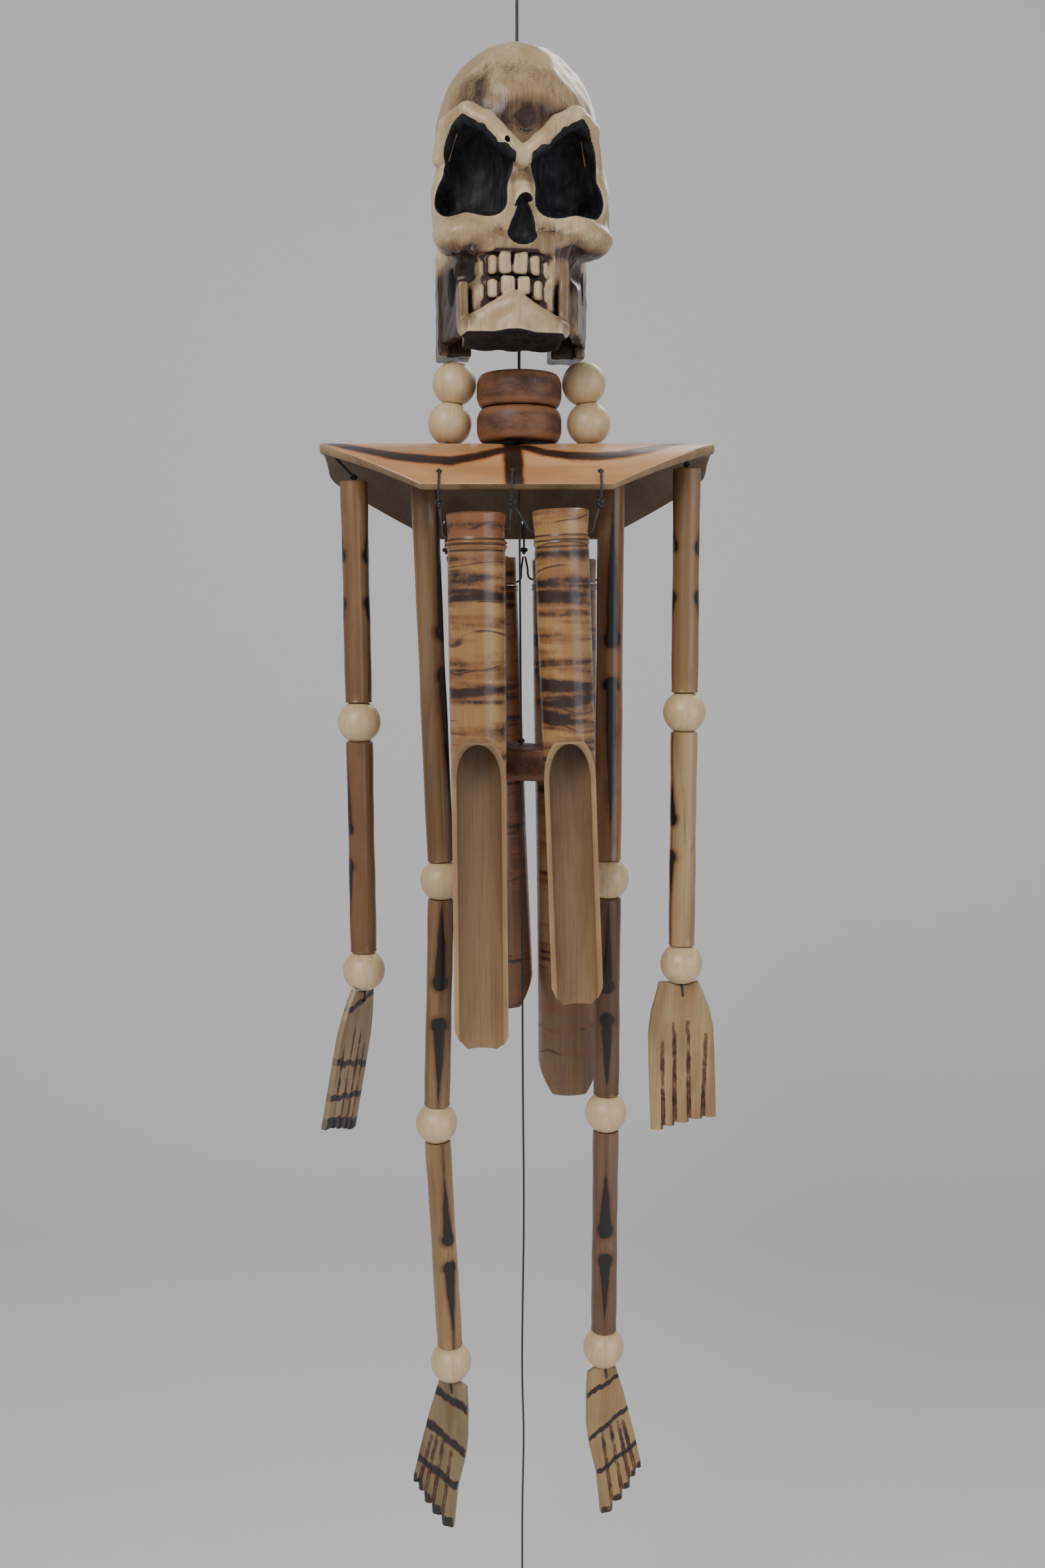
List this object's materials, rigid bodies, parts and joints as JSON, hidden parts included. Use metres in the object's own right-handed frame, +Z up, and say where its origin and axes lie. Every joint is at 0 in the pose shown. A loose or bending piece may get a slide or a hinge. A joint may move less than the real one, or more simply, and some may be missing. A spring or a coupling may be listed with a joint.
{
  "type": "wind chime",
  "caption": "Hanging bamboo wind chime in the form of a skeleton: carved skull, split-bamboo shoulders, strung limbs, chime tubes round a striker.",
  "frame": {"origin": "inside top of the hanging loop, where a hook bears", "axes": "+Z up along the hanging cord, +X to the right as seen from the front, the face looks along -Y"},
  "size_m": [0.2081, 0.1239, 0.9156],
  "materials": {
    "cord": "black waxed twine, matt",
    "skull": "carved pale wood with a brown wash in the cuts, sockets painted black",
    "bead": "natural turned wood, satin",
    "disc": "reddish-brown stained wood, satin varnish",
    "plate": "split bamboo, varnished, with burnt bands",
    "arm": "varnished bamboo with dark spots",
    "leg": "varnished bamboo with burnt streaks",
    "slat": "flat bamboo with burnt bands, satin",
    "chime": "varnished bamboo with burnt stripes, pale cut faces",
    "sail": "plain bamboo, satin"
  },
  "bodies": {
    "loop": {"hanging_loop": "cord"},
    "top_cord": {"hanging_cord": "cord"},
    "skull": {"skull": "skull"},
    "shoulders": {"shoulder_plate": "plate", "neck_disc_upper": "disc", "neck_disc_lower": "disc", "neck_bead_upper_left": "bead", "neck_bead_upper_right": "bead", "neck_bead_lower_left": "bead", "neck_bead_lower_right": "bead", "neck_cord_centre": "cord", "neck_cord_left": "cord", "neck_cord_right": "cord", "front_loop_left": "cord", "front_loop_middle": "cord", "front_loop_right": "cord", "back_loop_left": "cord", "back_loop_middle": "cord", "back_loop_right": "cord", "left_shoulder_tie": "cord", "right_shoulder_tie": "cord", "left_hip_tie": "cord", "right_hip_tie": "cord"},
    "left_upper_arm": {"left_upper_arm": "arm"},
    "left_forearm": {"left_elbow_bead": "bead", "left_forearm": "arm"},
    "left_hand": {"left_wrist_bead": "bead", "left_hand": "slat"},
    "left_thigh": {"left_thigh": "leg"},
    "left_shin": {"left_knee_bead": "bead", "left_shin": "leg"},
    "left_lower_leg": {"left_shin_bead": "bead", "left_lower_leg": "leg"},
    "left_foot": {"left_ankle_bead": "bead", "left_foot": "slat"},
    "right_upper_arm": {"right_upper_arm": "arm"},
    "right_forearm": {"right_elbow_bead": "bead", "right_forearm": "arm"},
    "right_hand": {"right_wrist_bead": "bead", "right_hand": "slat"},
    "right_thigh": {"right_thigh": "leg"},
    "right_shin": {"right_knee_bead": "bead", "right_shin": "leg"},
    "right_lower_leg": {"right_shin_bead": "bead", "right_lower_leg": "leg"},
    "right_foot": {"right_ankle_bead": "bead", "right_foot": "slat"},
    "chime_front_left": {"chime_front_left": "chime", "chime_cord_front_left": "cord"},
    "chime_front_right": {"chime_front_right": "chime", "chime_cord_front_right": "cord"},
    "chime_back_left": {"chime_back_left": "chime", "chime_cord_back_left": "cord"},
    "chime_back_right": {"chime_back_right": "chime", "chime_cord_back_right": "cord"},
    "striker_cord": {"striker_cord": "cord"},
    "striker": {"striker": "disc"},
    "sail_cord": {"sail_cord": "cord"},
    "wind_sail": {"wind_sail": "sail"}
  },
  "joints": [
    {"name": "whole_swing", "type": "hinge", "parent": "loop", "child": "top_cord", "pos_m": [0, 0, -0.0315], "axis": [0, 1, 0], "range_deg": [-12, 12]},
    {"name": "skull_turn", "type": "hinge", "parent": "top_cord", "child": "skull", "pos_m": [0, 0, -0.06], "axis": [0, 0, 1], "range_deg": [-45, 45]},
    {"name": "neck_swing", "type": "hinge", "parent": "skull", "child": "shoulders", "pos_m": [0.001, 0.004, -0.2065], "axis": [1, 0, 0], "range_deg": [-6, 6]},
    {"name": "left_shoulder", "type": "hinge", "parent": "shoulders", "child": "left_upper_arm", "pos_m": [-0.0822, 0, -0.2632], "axis": [0, 1, 0], "range_deg": [-2, 20]},
    {"name": "left_elbow", "type": "hinge", "parent": "left_upper_arm", "child": "left_forearm", "pos_m": [-0.0812, 0, -0.3863], "axis": [1, 0, 0], "range_deg": [-35, 35]},
    {"name": "left_wrist", "type": "hinge", "parent": "left_forearm", "child": "left_hand", "pos_m": [-0.0805, 0, -0.5167], "axis": [0, 0, 1], "range_deg": [-70, 70]},
    {"name": "left_hip", "type": "hinge", "parent": "shoulders", "child": "left_thigh", "pos_m": [-0.047, 0, -0.2611], "axis": [1, 0, 0], "range_deg": [-5, 3]},
    {"name": "left_knee", "type": "hinge", "parent": "left_thigh", "child": "left_shin", "pos_m": [-0.0396, 0, -0.4687], "axis": [1, 0, 0], "range_deg": [-20, 20]},
    {"name": "left_shin_joint", "type": "hinge", "parent": "left_shin", "child": "left_lower_leg", "pos_m": [-0.043, 0, -0.5999], "axis": [1, 0, 0], "range_deg": [-25, 25]},
    {"name": "left_ankle", "type": "hinge", "parent": "left_lower_leg", "child": "left_foot", "pos_m": [-0.0362, 0, -0.7346], "axis": [0, 0, 1], "range_deg": [-60, 60]},
    {"name": "right_shoulder", "type": "hinge", "parent": "shoulders", "child": "right_upper_arm", "pos_m": [0.0853, 0, -0.257], "axis": [0, 1, 0], "range_deg": [-20, 2]},
    {"name": "right_elbow", "type": "hinge", "parent": "right_upper_arm", "child": "right_forearm", "pos_m": [0.0858, 0, -0.3812], "axis": [1, 0, 0], "range_deg": [-35, 35]},
    {"name": "right_wrist", "type": "hinge", "parent": "right_forearm", "child": "right_hand", "pos_m": [0.086, 0, -0.5131], "axis": [0, 0, 1], "range_deg": [-70, 70]},
    {"name": "right_hip", "type": "hinge", "parent": "shoulders", "child": "right_thigh", "pos_m": [0.0472, 0, -0.2611], "axis": [1, 0, 0], "range_deg": [-5, 3]},
    {"name": "right_knee", "type": "hinge", "parent": "right_thigh", "child": "right_shin", "pos_m": [0.0472, 0, -0.468], "axis": [1, 0, 0], "range_deg": [-20, 10]},
    {"name": "right_shin_joint", "type": "hinge", "parent": "right_shin", "child": "right_lower_leg", "pos_m": [0.0471, 0, -0.594], "axis": [1, 0, 0], "range_deg": [-25, 25]},
    {"name": "right_ankle", "type": "hinge", "parent": "right_lower_leg", "child": "right_foot", "pos_m": [0.0467, 0, -0.7262], "axis": [0, 0, 1], "range_deg": [-60, 60]},
    {"name": "chime_front_left_swing", "type": "hinge", "parent": "shoulders", "child": "chime_front_left", "pos_m": [0, -0.0405, -0.279], "axis": [1, 0, 0], "range_deg": [-25, 1]},
    {"name": "chime_front_right_swing", "type": "hinge", "parent": "shoulders", "child": "chime_front_right", "pos_m": [0, -0.0405, -0.279], "axis": [1, 0, 0], "range_deg": [-25, 1]},
    {"name": "chime_back_left_swing", "type": "hinge", "parent": "shoulders", "child": "chime_back_left", "pos_m": [0, 0.0455, -0.297], "axis": [1, 0, 0], "range_deg": [-1, 25]},
    {"name": "chime_back_right_swing", "type": "hinge", "parent": "shoulders", "child": "chime_back_right", "pos_m": [0, 0.0455, -0.297], "axis": [1, 0, 0], "range_deg": [-1, 25]},
    {"name": "striker_swing", "type": "hinge", "parent": "shoulders", "child": "striker_cord", "pos_m": [0.001, 0, -0.2548], "axis": [1, 0, 0], "range_deg": [-4, 4]},
    {"name": "striker_tilt", "type": "hinge", "parent": "striker_cord", "child": "striker", "pos_m": [0.002, 0, -0.3985], "axis": [0, 1, 0], "range_deg": [-3, 3]},
    {"name": "sail_swing", "type": "hinge", "parent": "striker", "child": "sail_cord", "pos_m": [0.002, 0, -0.4145], "axis": [1, 0, 0], "range_deg": [-6, 6]},
    {"name": "sail_turn", "type": "hinge", "parent": "sail_cord", "child": "wind_sail", "pos_m": [0.0026, 0, -0.868], "axis": [0, 0, 1], "range_deg": [-80, 80]}
  ]
}
